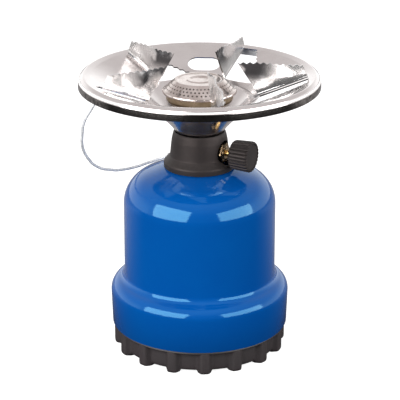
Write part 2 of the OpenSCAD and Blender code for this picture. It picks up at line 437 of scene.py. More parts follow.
def blend(tree: Tree, mask: Socket, under: object, over: object) -> Socket:
    """Mix two colours, each given as numbers or as a socket."""
    return add_node(tree, "Mix", {0: mask, 6: under, 7: over},
                    data_type="RGBA").outputs[2]


def spread(tree: Tree, value: Socket, low: float, high: float,
           **settings: object) -> Socket:
    """Spread a value between two bounds to the range from 0 to 1."""
    return add_node(tree, "MapRange", {"Value": value, "From Min": low,
                                       "From Max": high},
                    **settings).outputs[0]


def product(tree: Tree, *pair: Socket) -> Socket:
    """Multiply two masks."""
    return add_node(tree, "Math", dict(enumerate(pair)),
                    operation="MULTIPLY", use_clamp=True).outputs[0]


def noise(tree: Tree, vector: Socket, scale: object, detail: float,
          rough: float = 0.5) -> Socket:
    """Add a noise whose scale is a number or a socket."""
    return add_node(tree, "TexNoise", {
        "Vector": vector, "Scale": scale, "Detail": detail,
        "Roughness": rough}).outputs[0]


def height_of(tree: Tree, vector: Socket) -> Socket:
    """Take the Z part of a vector."""
    return add_node(tree, "SeparateXYZ", {0: vector}).outputs["Z"]


class Effect(Enum):
    """The shader node groups that finishes share."""

    GRAIN = "Fine grain"
    SMUDGE = "Smudges and painted shade"
    WEAR = "Edge wear"
    DUST = "Settled dust"
    HEAT = "Heat stains and painted reflections"


class EffectShelf:
    """Builds each shared effect once and hands it out."""

    def __init__(self) -> None:
        """Start with an empty shelf."""
        self.groups: dict[Effect, Tree] = {}

    def get(self, effect: Effect) -> Tree:
        """Return an effect's node group, built on its first use."""
        if effect not in self.groups:
            makers = {Effect.GRAIN: self._grain, Effect.SMUDGE: self._smudge_and_shade,
                      Effect.WEAR: self._wear, Effect.DUST: self._dust,
                      Effect.HEAT: self._heat_and_reflection}
            self.groups[effect] = makers[effect]()
        return self.groups[effect]

    @staticmethod
    def _new(effect: Effect, values: dict[str, float], *outputs: str) -> tuple:
        """Make an empty group that takes a vector and some values.

        Args:
            effect: the effect it is for.
            values: name and default of each value.
            outputs: names of the float outputs.

        Returns:
            The group, the sockets it is given and the sockets it fills.
        """
        group = bpy.data.node_groups.new(effect.value, "ShaderNodeTree")
        socket = group.interface.new_socket
        socket(name="Vector", in_out="INPUT", socket_type="NodeSocketVector")
        for name, value in values.items():
            socket(name=name, in_out="INPUT",
                   socket_type="NodeSocketFloat").default_value = value
        for name in outputs:
            socket(name=name, in_out="OUTPUT", socket_type="NodeSocketFloat")
        return (group, group.nodes.new("NodeGroupInput").outputs,
                group.nodes.new("NodeGroupOutput").inputs)

    def _grain(self) -> Tree:
        """Fine surface grain, as a height."""
        group, given, out = self._new(
            Effect.GRAIN, {"Scale": 900.0, "Coarse": 60.0, "Balance": 0.5},
            "Height")
        fine = noise(group, given["Vector"], given["Scale"], 3.0)
        coarse = noise(group, given["Vector"], given["Coarse"], 2.0)
        mix = add_node(group, "Mix", {0: given["Balance"], 2: fine, 3: coarse})
        group.links.new(mix.outputs[0], out["Height"])
        return group

    def _smudge_and_shade(self) -> Tree:
        """Soft patches between two values, for roughness or tint; the tint
        patches are painted shade on the dish skirt and painted dark
        reflections on the blades.
        """
        group, given, out = self._new(
            Effect.SMUDGE, {"Scale": 25.0, "Low": 0.2, "High": 0.4},
            "Value", "Mask")
        patches = noise(group, given["Vector"], given["Scale"], 5.0, 0.6)
        mask = spread(group, patches, 0.32, 0.68)
        level = add_node(group, "MapRange", {
            "Value": mask, "To Min": given["Low"], "To Max": given["High"]})
        group.links.new(level.outputs[0], out["Value"])
        group.links.new(mask, out["Mask"])
        return group

    def _wear(self) -> Tree:
        """Mask of outward edges, broken up by noise."""
        group, given, out = self._new(Effect.WEAR, {"Amount": 0.5}, "Mask")
        point = add_node(group, "NewGeometry").outputs["Pointiness"]
        broken = product(group, spread(group, point, 0.52, 0.62),
                         noise(group, given["Vector"], 180.0, 4.0))
        group.links.new(product(group, broken, given["Amount"]), out["Mask"])
        return group

    def _dust(self) -> Tree:
        """Mask of dust that settles where a surface looks up."""
        group, given, out = self._new(Effect.DUST, {"Amount": 0.1}, "Mask")
        normal = add_node(group, "NewGeometry").outputs["Normal"]
        up = spread(group, height_of(group, normal), 0.3, 1.0)
        patchy = product(group, up, noise(group, given["Vector"], 420.0, 3.0))
        group.links.new(product(group, patchy, given["Amount"]), out["Mask"])
        return group

    def _heat_and_reflection(self) -> Tree:
        """Mask of heat stains and painted dark reflections on what stands
        close round the burner.
        """
        group, given, out = self._new(Effect.HEAT, {"Amount": 0.5}, "Mask")
        place = given["Vector"]
        flat = add_node(group, "VectorMath", {0: place, 1: (1.0, 1.0, 0.0)},
                        operation="MULTIPLY").outputs[0]
        away = add_node(group, "VectorMath", {0: flat}, operation="LENGTH")
        mask = given["Amount"]
        for value, low, high in (
                (away.outputs["Value"], 0.048, 0.037),
                (height_of(group, place), 0.167, 0.176),
                (noise(group, place, 85.0, 1.5), 0.40, 0.54)):
            near = spread(group, value, low, high,
                          interpolation_type="SMOOTHSTEP")
            mask = product(group, near, mask)
        group.links.new(mask, out["Mask"])
        return group


SHELF = EffectShelf()
COAT_ROUGHNESS = 0.05
# Dark colour for heat soot, which also paints dark reflections onto the
# blades.
SOOT_AND_DARK_REFLECTION = (0.03, 0.03, 0.034)
GREY_DUST = (0.62, 0.6, 0.57)


@dataclass(frozen=True)
class Finish:
    """One surface finish and the shader that shows it."""

    name: str
    colour: Colour
    tint: Colour
    worn: Colour
    metallic: float = 0.0
    gloss: tuple[float, float] = (0.3, 0.45)
    coat: float = 0.0
    specular: float = 0.5
    sheen_tint: Colour = (1.0, 1.0, 1.0)
    grain: float = 900.0
    coarse: float = 60.0
    balance: float = 0.3
    relief: float = 0.1
    relief_mm: float = 0.1
    patch: float = 30.0
    wear: float = 0.3
    dust: float = 0.0
    heat_and_reflection: float = 0.0

    def build(self) -> bpy.types.Material:
        """Make the material.

        Returns:
            The finished material.
        """
        material = bpy.data.materials.new(self.name)
        material.use_nodes = True
        tree = material.node_tree
        shader = tree.nodes["Principled BSDF"].inputs
        for name, value in (("Metallic", self.metallic),
                            ("Coat Weight", self.coat),
                            ("Coat Roughness", COAT_ROUGHNESS),
                            ("Specular IOR Level", self.specular),
                            ("Specular Tint", (*self.sheen_tint, 1.0))):
            shader[name].default_value = value
        place = add_node(tree, "TexCoord").outputs["Object"]

        def effect(kind: Effect, **values: float) -> bpy.types.NodeOutputs:
            """Place a shared effect with its own values."""
            given = {key.title(): value for key, value in values.items()}
            return add_node(tree, "Group", {"Vector": place, **given},
                            node_tree=SHELF.get(kind)).outputs

        # Roughness patches, and tint patches that on some finishes are painted
        # shade and painted reflection.
        smudge_and_shade = effect(Effect.SMUDGE, scale=self.patch, low=self.gloss[0],
                        high=self.gloss[1])
        tree.links.new(smudge_and_shade["Value"], shader["Roughness"])
        colour = blend(tree, smudge_and_shade["Mask"], self.colour, self.tint)
        # Wear, dust, and a dark mask near the burner that is heat stain and
        # painted dark reflection in one.
        for kind, amount, over in ((Effect.WEAR, self.wear, self.worn),
                                   (Effect.HEAT, self.heat_and_reflection, SOOT_AND_DARK_REFLECTION),
                                   (Effect.DUST, self.dust, GREY_DUST)):
            if amount > 0:
                mask = effect(kind, amount=amount)["Mask"]
                colour = blend(tree, mask, colour, over)
        tree.links.new(colour, shader["Base Color"])
        grain = effect(Effect.GRAIN, scale=self.grain, coarse=self.coarse,
                       balance=self.balance)["Height"]
        bump = add_node(tree, "Bump", {
            "Strength": self.relief, "Distance": self.relief_mm * MM,
            "Height": grain})
        tree.links.new(bump.outputs[0], shader["Normal"])
        return material


ENAMEL = Finish("blue_enamel", (0.0005, 0.068, 0.285), (0.0006, 0.060, 0.268),
                (0.01, 0.14, 0.42), gloss=(0.07, 0.11), specular=0.62,
                sheen_tint=(0.3, 0.82, 1.0), grain=500, coarse=45,
                balance=0.85, relief=0.05, relief_mm=0.15, wear=0.1, patch=18)
PLASTIC = Finish("black_moulded_plastic", (0.021, 0.0175, 0.017),
                 (0.014, 0.012, 0.012), (0.07, 0.062, 0.056),
                 gloss=(0.42, 0.54), specular=0.3, sheen_tint=(1.0, 0.84, 0.8),
                 grain=1400, coarse=160, relief=0.25, relief_mm=0.12,
                 wear=0.35, dust=0.03, patch=40)
BASE_PLASTIC = Finish("black_base_plastic", (0.038, 0.031, 0.033),
                      (0.027, 0.023, 0.024), (0.10, 0.09, 0.085),
                      gloss=(0.42, 0.55), grain=1100, coarse=120,
                      relief=0.3, relief_mm=0.15, wear=0.4, dust=0.06,
                      patch=40)
CHROME = Finish("bright_chrome", (0.80, 0.765, 0.755), (0.70, 0.655, 0.645),
                (0.9, 0.88, 0.87), metallic=1.0, gloss=(0.13, 0.21), grain=700,
                coarse=38, balance=0.9, relief=0.12, relief_mm=0.5, wear=0.2,
                patch=26)
# Dark, mottled chrome for the dish's outer skirt: painted shade and painted
# dark reflection.
SHADED_SKIRT_CHROME = Finish("skirt_chrome_painted_shade", (0.42, 0.395, 0.38),
                     (0.05, 0.044, 0.042), (0.8, 0.78, 0.76), metallic=1.0,
                     gloss=(0.12, 0.24), coarse=300, relief=0.3,
                     relief_mm=0.15, patch=420, wear=0.0)
# Matte white in place of chrome on the shaded inner rim strip: painted light
# that keeps it bright.
PALE_RIM_STRIP = Finish("rim_strip_painted_light", (0.92, 0.91, 0.90),
                     (0.86, 0.85, 0.84), (0.9, 0.9, 0.9),
                     gloss=(0.55, 0.7), wear=0.0)
# The blades' grey tint patches and soot mask are painted dark reflections,
# mixed with some heat stain.
BLADE_CHROME = Finish("lanced_chrome", (0.98, 0.97, 0.96), (0.62, 0.60, 0.59),
                      (0.98, 0.98, 0.98), metallic=0.85, gloss=(0.17, 0.30),
                      grain=600, coarse=48, balance=0.95, relief=0.5,
                      relief_mm=2.2, heat_and_reflection=0.92, patch=38)
CAP_STEEL = Finish("pressed_cap_steel", (0.84, 0.77, 0.74),
                   (0.44, 0.37, 0.335), (0.95, 0.92, 0.90), metallic=1.0,
                   gloss=(0.12, 0.22), coarse=80, relief=0.12, relief_mm=0.2,
                   wear=0.6, patch=55)
PLATED = Finish("zinc_plated_steel", (0.60, 0.60, 0.61), (0.52, 0.52, 0.54),
                (0.8, 0.8, 0.8), metallic=1.0, gloss=(0.25, 0.4),
                relief=0.15, patch=70)
BRASS = Finish("turned_brass", (0.83, 0.58, 0.24), (0.74, 0.48, 0.18),
               (0.95, 0.76, 0.42), metallic=1.0, gloss=(0.18, 0.3),
               grain=1200, relief=0.12, patch=90, wear=0.4)
NUT_BRASS = Finish("dull_brass", (0.46, 0.33, 0.20), (0.16, 0.11, 0.06),
                   (0.85, 0.68, 0.45), metallic=1.0, gloss=(0.16, 0.3),
                   grain=1200, patch=160, wear=0.8)
BOWL_BRASS = Finish("heat_tinted_brass", (0.50, 0.40, 0.27),
                    (0.26, 0.19, 0.11), (0.7, 0.6, 0.45), metallic=1.0,
                    gloss=(0.22, 0.4), grain=800, relief=0.15, patch=70,
                    wear=0.4)
RUBBER = Finish("nitrile_rubber", (0.018, 0.018, 0.018),
                (0.028, 0.028, 0.028), (0.05, 0.05, 0.05), gloss=(0.6, 0.75),
                grain=1500, relief=0.3, wear=0.1)
WHITE_PLASTIC = Finish("white_slip_plastic", (0.78, 0.78, 0.75),
                       (0.7, 0.7, 0.67), (0.85, 0.85, 0.85),
                       gloss=(0.35, 0.5), grain=1200, wear=0.1)
TINPLATE = Finish("painted_tinplate", (0.55, 0.57, 0.60), (0.50, 0.52, 0.55),
                  (0.75, 0.75, 0.75), gloss=(0.22, 0.32), coat=0.3,
                  grain=700, coarse=50, balance=0.7, relief=0.06,
                  relief_mm=0.2, dust=0.05)
SLEEVE = Finish("sleeved_steel_rope", (0.80, 0.81, 0.82), (0.48, 0.49, 0.52),
                (0.95, 0.95, 0.95), gloss=(0.12, 0.22), coat=1.0, grain=2600,
                coarse=900, relief=0.4, relief_mm=0.15, patch=700, wear=0.0)


class FinishRack:
    """Holds one material for each finish that has been used."""

    def __init__(self) -> None:
        """Start with an empty rack."""
        self.made: dict[str, bpy.types.Material] = {}

    def get(self, finish: Finish) -> bpy.types.Material:
        """Return a finish's material, built on its first use."""
        if finish.name not in self.made:
            self.made[finish.name] = finish.build()
        return self.made[finish.name]


RACK = FinishRack()


def dress(piece: Piece, finish: Finish, slot: str, body: str,
          *nodes: str, angle: float = 32.0) -> None:
    """Shade a piece smooth, give it its finish and put it on its body.

    Args:
        piece: the finished shape.
        finish: its surface finish.
        slot: the record's material slot; not used.
        body: the CAD body it rides on.
        nodes: CAD nodes it stands for.
        angle: edges sharper than this, in degrees, stay sharp.
    """
    activate(piece)
    bpy.ops.object.shade_smooth_by_angle(angle=math.radians(angle))
    deselect_all()
    piece.data.materials.clear()
    piece.data.materials.append(RACK.get(finish))
    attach(piece, body)
    if nodes:
        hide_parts(*nodes)
    LOG.info("%s: %s on %s", piece.name, finish.name, body)


# --------------------------------------------------------------------------
# Sub-assemblies
# --------------------------------------------------------------------------

@dataclass
class Tether:
    """Sleeved steel rope that ties the dish to the collar."""

    diameter: float = 1.8
    length: float = 0.1225
    bore: float = 0.93
    crimp: float = 0.22
    route: tuple[tuple[float, float, float], ...] = (
        (-37, -58.5, 170), (-38.5, -60, 166), (-40.8, -60.7, 162),
        (-43.3, -61.3, 158), (-45.3, -60.9, 154), (-46.9, -59.7, 150),
        (-48, -58, 146), (-49.5, -56.5, 142), (-50.5, -54.5, 138),
        (-51.5, -52, 134.5), (-52, -49, 130.5), (-52, -46.5, 127.5),
        (-52, -43, 124), (-52, -40, 121), (-51.5, -36, 118.5),
        (-50.5, -32.5, 116), (-49.5, -28.5, 114.5), (-48.5, -24, 113),
        (-47, -20, 111.5), (-45.5, -16, 111), (-43.5, -11.5, 110.5),
        (-41.5, -7.5, 110.5), (-39, -4, 111), (-36.5, -0.5, 112),
        (-33, 2.5, 113), (-29.5, 5, 114.5), (-25.5, 6, 116),
        (-21.5, 6, 118))

    def build(self) -> None:
        upper = self.ferrule("rope_ferrule_upper", (-38.4, -59.2, 166),
                             (-36.2, -58.1, 172.2), 1.55)
        dress(upper, PLATED, "plated_steel", "housing", "dish_ferrule")
        lower = self.ferrule("rope_ferrule_lower", (-24.8, 6, 116.8),
                             (-18.8, 5.9, 119.2), 1.4)
        dress(lower, PLATED, "plated_steel", "housing", "collar_ferrule")
        curve = bpy.data.curves.new("rope", "CURVE")
        curve.dimensions = "3D"
        curve.bevel_depth = self.diameter / 2 * MM
        curve.bevel_resolution = 4
        curve.resolution_u = 6
        curve.use_fill_caps = True
        line = curve.splines.new("NURBS")
        line.points.add(len(self.route) - 1)
        for point, place in zip(line.points, self.route):
            point.co = (*(Vector(place) * MM), 1.0)
        line.order_u = 4
        line.use_endpoint_u = True
        rope = bpy.data.objects.new("tether_rope", curve)
        bpy.context.scene.collection.objects.link(rope)
        rope.data.materials.append(RACK.get(SLEEVE))
        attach(rope, "housing")
        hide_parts("tether_wire")

    def ferrule(self, name: str, low: tuple[float, float, float],
                high: tuple[float, float, float],
                radius: float) -> Piece:
        """Make a crimped sleeve between two places.

        Args:
            name: the piece's name.
            low: one end, in millimetres.
            high: the other end.
            radius: outer radius.

        Returns:
            The sleeve.
        """
        way = Vector(high) - Vector(low)
        long, r, bore = way.length, radius, self.bore
        crimps = [(r - deep, long * (first + along), 0.2)
                  for first in (0.24, 0.58)
                  for deep, along in ((0, 0), (self.crimp, 0.06),
                                      (self.crimp, 0.16), (0, 0.22))]
        piece = turn(name, rounded(
            [(bore, 0, 0), (r, 0, 0.3), *crimps, (r, long, 0.3),
             (bore, long, 0)], 3), 28)
        place = (Matrix.Translation(Vector(low) * MM)
                 @ way.to_track_quat("Z", "Y").to_matrix().to_4x4())
        settle(piece, place)
        return piece


@dataclass
class BellHousing:
    """Enamelled bell that covers the cartridge."""

    wall_r: float = 46.6
    flange_r: float = 54.3
    flange_z: float = 15.25
    shoulder_z: float = 36.0
    flange_top_r: float = 55.0
    shoulder_r: float = 8.0
    fillet_r: float = 5.0
    wall_top: float = 92.5
    crown_round: float = 20.0
    slope: float = 20.0
    sheet: float = 0.8

    def build(self) -> None:
        """Turn the bell and dress it."""
        shoulder_c = self.flange_top_r - self.shoulder_r
        fillet_c = self.wall_r + self.fillet_r
        over = fillet_c - shoulder_c
        rise = math.sqrt((self.shoulder_r + self.fillet_r) ** 2 - over * over)
        fillet_z = self.shoulder_z + rise
        lean = math.degrees(math.atan2(rise, over))
        inner = self.wall_r - self.crown_round
        cone_r = inner + self.crown_round * math.sin(math.radians(self.slope))
        cone_z = (self.wall_top
                  + self.crown_round * math.cos(math.radians(self.slope)))
        crown = cone_z + (cone_r - 17) * math.tan(math.radians(self.slope))
        path = ([(self.flange_r - 0.25, self.flange_z),
                 (self.flange_r, self.flange_z + 0.35)]
                + arc(shoulder_c, self.shoulder_z, self.shoulder_r, 0, lean,
                      16)
                + arc(fillet_c, fillet_z, self.fillet_r, lean + 174, 180, 9)
                + arc(inner, self.wall_top, self.crown_round, 0,
                      90 - self.slope, 20)
                + [(17, crown), (9.2, crown)])
        piece = turn("bell_shell", walled(path, -self.sheet), 192)
        dress(piece, ENAMEL, "blue_paint", "housing", "bell_housing", angle=40)


@dataclass
class BaseCup:
    """Ribbed base cup that screws into the bell."""

    ribs: int = 16
    rib_turn: float = 8.0
    flute: tuple[float, ...] = (
        53.3, 53.3, 53.25, 52.9, 51.7, 50.2, 49.65, 49.5, 49.5, 49.5, 49.5,
        49.5, 49.5, 49.5, 49.5, 49.5, 49.5, 49.5, 49.65, 50.2, 51.7, 52.9,
        53.25, 53.3)
    skirt_top: float = 13.7
    rib_edge: float = 5.2
    thread_rise: float = 3.0
    thread_turns: float = 3.0
    thread_low: float = 16.6

    def build(self) -> None:
        """Make the skirt, the cup inside it and the thread."""
        top = self.skirt_top
        rings = [(top, 1.0), (13.0, 1.0), (8.0, 1.0), (2.6, 1.0), (1.5, 0.998),
                 (0.7, 0.993), (0.2, 0.984), (0.0, 0.972), (0.0, 0.93)]
        skirt = fluted("base_skirt", self.flute, self.ribs, rings)
        bpy.ops.mesh.extrude_region_move(
            TRANSFORM_OT_translate={"value": (0, 0, top * MM)})
        pick(skirt, lambda p: abs(p.z - top) < 0.05)
        bpy.ops.mesh.bridge_edge_loops()
        rib, edge = 360 / self.ribs, self.rib_edge

        def on_panel(p: Vector) -> bool:
            """Say whether a low vertex is between two ribs."""
            angle = math.degrees(math.atan2(p.y, p.x)) % rib
            return p.z < 2.7 and edge < angle < rib - edge
        pick(skirt, on_panel)
        bpy.ops.transform.translate(value=(0, 0, 1.4 * MM))
        close_up()
        settle(skirt, Matrix.Rotation(math.radians(self.rib_turn), 4, "Z"))
        outline = rounded([
            (0, 3, 0), (38.6, 3, 0.6), (40, 0, 0.4), (45.6, 0, 0.5),
            (46.6, 1.4, 0.4), (49.0, 1.5, 0.4), (49.2, 13.0, 0),
            (52.9, 13.2, 0.3), (53.3, 14.0, 0.5), (53.0, 14.9, 0.3),
            (51.1, 14.9, 0), (51.1, 30, 0.5), (50, 30, 0.3), (50, 16, 0.5),
            (47.4, 13, 0.5), (47.4, 5.6, 1.0), (0, 5.6, 0)], 4)
        cup = turn("base_inner", outline, 192, closed=False)
        thread = self.thread()
        piece = join("base_cup_body", [skirt, cup, thread])
        dress(piece, BASE_PLASTIC, "black_plastic", "base", "base_cup",
              angle=38)

    def thread(self) -> Piece:
        """Wind the thread's ridge round the cup's wall.

        Returns:
            The ridge, as a closed strip.
        """
        corners = [(51.0, -1.1), (51.75, -0.35), (51.75, 0.35), (51.0, 1.1)]
        points = [Vector((r, 0, self.thread_low + z)) * MM for r, z in corners]
        ridge = draw_line("base_thread", points)
        bpy.ops.mesh.edge_face_add()
        end_edit()
        turns = self.thread_turns
        steps = int(144 * turns)
        apply_modifier(ridge, "SCREW", angle=math.tau * turns, steps=steps,
                       screw_offset=self.thread_rise * turns * MM,
                       render_steps=steps, use_merge_vertices=False)
        start_edit(ridge)
        bpy.ops.mesh.select_all(action="SELECT")
        bpy.ops.mesh.remove_doubles(threshold=WELD)
        close_up()
        return ridge


@dataclass
class Cartridge:
    """Pierceable gas cartridge inside the bell."""

    radius: float = 45.0

    def build(self) -> None:
        """Turn the can with its base seam and domed top."""
        r = self.radius
        outer = rounded([
            (0, 12, 0), (30, 9.6, 3), (41.2, 7.6, 1), (42.6, 6.5, 0.5),
            (43.8, 6.5, 0.6), (r, 7.4, 0.5), (r, 9.2, 0.4),
            (r - 0.5, 10.2, 0.6), (r - 0.4, 84.6, 0)], 5)
        outer += arc(r - 12, 86, 11.8, 4, 80, 14)
        outer += rounded([(31, 100.2, 0), (16, 101.2, 3), (14.6, 100.9, 0.5),
                          (13.6, 101.3, 0.5), (1.8, 101.4, 0)], 4)
        piece = turn("gas_can", walled(outer, -0.4), 160)
        dress(piece, TINPLATE, "painted_can", "cartridge", "cartridge",
              angle=40)


@dataclass
class CollarShroud:
    """Moulded collar round the valve."""

    axis_z: float = 126.75
    window_r: float = 7.6

    def build(self) -> None:
        """Turn the collar, then cut its window and its rope hole."""
        outline = rounded([
            (14.6, 137.6, 0), (15.0, 138.5, 0.35), (15.7, 138.5, 0.5),
            (16.3, 136.8, 1.5), (17.0, 133.5, 3), (17.5, 129.2, 3),
            (17.8, 126, 3), (18.1, 123.3, 1.2), (19.8, 121.4, 2),
            (21.4, 119.9, 0.8), (21.8, 119.0, 0.5), (21.8, 115.95, 0.35),
            (20.3, 116.35, 0.2), (20.3, 118.6, 0.6), (18.5, 120.5, 0.8),
            (16.7, 122.6, 0.8), (16.3, 126, 2), (16, 129.2, 2),
            (15.7, 132.4, 2), (15.5, 134.2, 0.4), (8.6, 134.2, 0.2),
            (8.6, 135.8, 0.2), (14.4, 135.8, 0.5)], 4)
        piece = turn("collar_body", outline, 160)
        window = rod(72, self.window_r, 30)
        settle(window, along_x(23, self.axis_z))
        cut(piece, window)
        way = Vector((6.0, -0.1, 2.4))
        hole = rod(24, 1.5, 14)
        settle(hole, Matrix.Translation(Vector((-21.8, 5.95, 118.0)) * MM)
               @ way.to_track_quat("Z", "Y").to_matrix().to_4x4())
        cut(piece, hole)
        bevel(piece, 0.28, 55)
        dress(piece, PLASTIC, "black_plastic", "housing", "collar_shroud",
              angle=34)


@dataclass
class KnobValve:
    """Side valve: gland nut, spindle and ribbed knob."""

    axis_z: float = 126.75
    knob_x: float = 23.0
    knob_len: float = 12.6
    knob_r: float = 9.5
    grooves: int = 24

    def build(self) -> None:
        """Make the nut, the spindle and the knob."""
        self.gland()
        self.spindle()
        self.knob()

    def gland(self) -> None:
        """Make the hexagonal gland nut with chamfered corners."""
        nut = rod(6, 6.35, 4.4)
        nut.name = "gland_hex"
        settle(nut, Matrix.Translation((0, 0, 2.2 * MM)))
        dome = turn("gland_dome", rounded([
            (0, -0.5, 0), (8, -0.5, 0), (8, 2.6, 0), (5.7, 4.4, 0.3),
            (0, 4.4, 0)], 3), 72, closed=False)
        cut(nut, dome, "INTERSECT")
        bevel(nut, 0.18, 40)
        shank = turn("gland_shank", rounded([
            (2.06, -2.3, 0), (4.42, -2.3, 0.3), (4.42, 0.1, 0),
            (2.06, 0.1, 0)], 3), 48)
        lip = turn("gland_lip", rounded([
            (2.06, 4.3, 0), (4.0, 4.3, 0), (4.0, 4.75, 0.2), (3.4, 4.95, 0.2),
            (2.06, 4.95, 0)], 3), 48)
        piece = join("gland_nut_body", [nut, shank, lip])
        settle(piece, along_x(13.1, self.axis_z))
        dress(piece, NUT_BRASS, "valve_brass", "housing", "gland_nut")

    def spindle(self) -> None:
        """Turn the spindle with its needle, thread and two grooves."""
        outline = rounded([
            (0, -0.9, 0), (0.6, -0.9, 0.1), (2.0, 0.6, 0.1), (2.0, 0.95, 0),
            (2.56, 1.1, 0.15), (2.56, 5.9, 0.15), (2.0, 6.05, 0),
            (2.0, 17.9, 0.1), (1.7, 18.1, 0.1), (1.7, 18.5, 0.1),
            (2.0, 18.7, 0.1), (2.0, 32.6, 0.3), (0, 33, 0)], 3)
        piece = turn("spindle_body", outline, 48, closed=False)
        settle(piece, along_x(0, self.axis_z))
        dress(piece, BRASS, "valve_brass", "knob", "valve_spindle")

    def knob(self) -> None:
        """Pull up the grooved knob and close both of its faces."""
        r, long = self.knob_r, self.knob_len
        flute = (r, r, r - 0.02, r - 0.12, r - 0.55, r - 0.75, r - 0.55,
                 r - 0.12, r - 0.02, r)
        rings = [(0.0, 0.80), (0.0, 0.865), (0.25, 0.90), (0.9, 0.935),
                 (1.6, 0.948), (6.0, 0.972), (long - 1.3, 1.0),
                 (long - 0.7, 0.99), (long - 0.2, 0.955), (long, 0.905),
                 (long, 0.86), (long - 0.35, 0.835), (long - 0.4, 0.6),
                 (long - 0.4, 0.25)]
        piece = fluted("knob_body", flute, self.grooves, rings)
        bpy.ops.mesh.edge_face_add()
        pick(piece, lambda p: p.z < 0.01 and p.length < r * 0.81)
        bpy.ops.mesh.extrude_region_move(
            TRANSFORM_OT_translate={"value": (0, 0, 0.0)})
        bpy.ops.transform.resize(value=(0.3, 0.3, 1),
                                 center_override=(0, 0, 0))
        bpy.ops.mesh.edge_face_add()
        close_up()
        settle(piece, along_x(self.knob_x, self.axis_z))
        dress(piece, PLASTIC, "black_plastic", "knob", "control_knob",
              angle=30)


@dataclass
class Burner:
    """Burner bowl with its perforated cap."""

    rim_r: float = 22.5
    rim_z: float = 163.5
    top_r: float = 15.5
    top_z: float = 170.9
    holes: int = 48
    rows: int = 3
    hole_r: float = 0.56
    first_row: float = 0.2
    row_step: float = 0.3

    def build(self) -> None:
        """Make the bowl and the cap."""
        bowl = turn("burner_bowl_body", walled(rounded([
            (8.05, 154.8, 0), (9.8, 154.8, 1), (16.8, 156.1, 3),
            (20.3, 158.4, 2.6), (20.3, 164.6, 0)], 7), -0.9), 144)
        dress(bowl, BOWL_BRASS, "valve_brass", "housing", "burner_bowl")
        self.cap()

    def cap(self) -> None:
        """Turn the cap and pierce its cone with staggered rows of holes."""
        top, rim = self.top_z, self.rim_z
        path = rounded([
            (0, top - 0.55, 0), (5.4, top - 0.55, 1.2), (6.3, top + 0.2, 0.5),
            (7.6, top + 0.2, 0.5), (8.4, top - 0.25, 0.6),
            (12.6, top - 0.25, 0.8), (13.4, top, 0.6),
            (self.top_r - 0.5, top, 0.35), (self.top_r + 0.3, top - 0.7, 0.35),
            (self.rim_r - 1.1, rim + 1.5, 0.5),
            (self.rim_r - 0.35, rim + 1.1, 0.5), (self.rim_r, rim + 0.4, 0.4),
            (self.rim_r - 0.05, rim - 0.45, 0.3),
            (self.rim_r - 0.55, rim - 0.6, 0)], 4)
        inner = moved(path, 0.6)
        piece = turn("cap_shell", list(path) + inner[::-1], 192, closed=False)
        run = self.rim_r - 1.1 - self.top_r - 0.3
        drop = top - 0.7 - rim - 1.5
        tilt = math.atan2(drop, run)
        tools = []
        pin = rod(10, self.hole_r, 3)
        for row in range(self.rows):
            part = self.first_row + self.row_step * row
            place = Matrix.Translation(
                ((self.rim_r - 1.1 - run * part) * MM, 0,
                 (rim + 1.5 + drop * part) * MM))
            lean = Matrix.Rotation(math.pi / 2 - tilt, 4, "Y")
            for i in range(self.holes):
                turned = (i + (row % 2) / 2) * math.tau / self.holes
                twin = copy_of(pin, "hole_pin")
                settle(twin, Matrix.Rotation(turned, 4, "Z") @ place @ lean)
                tools.append(twin)
        bpy.data.objects.remove(pin)
        cut(piece, join("hole_pins", tools))
        dress(piece, CAP_STEEL, "burner_steel", "housing", "burner_cap",
              angle=30)


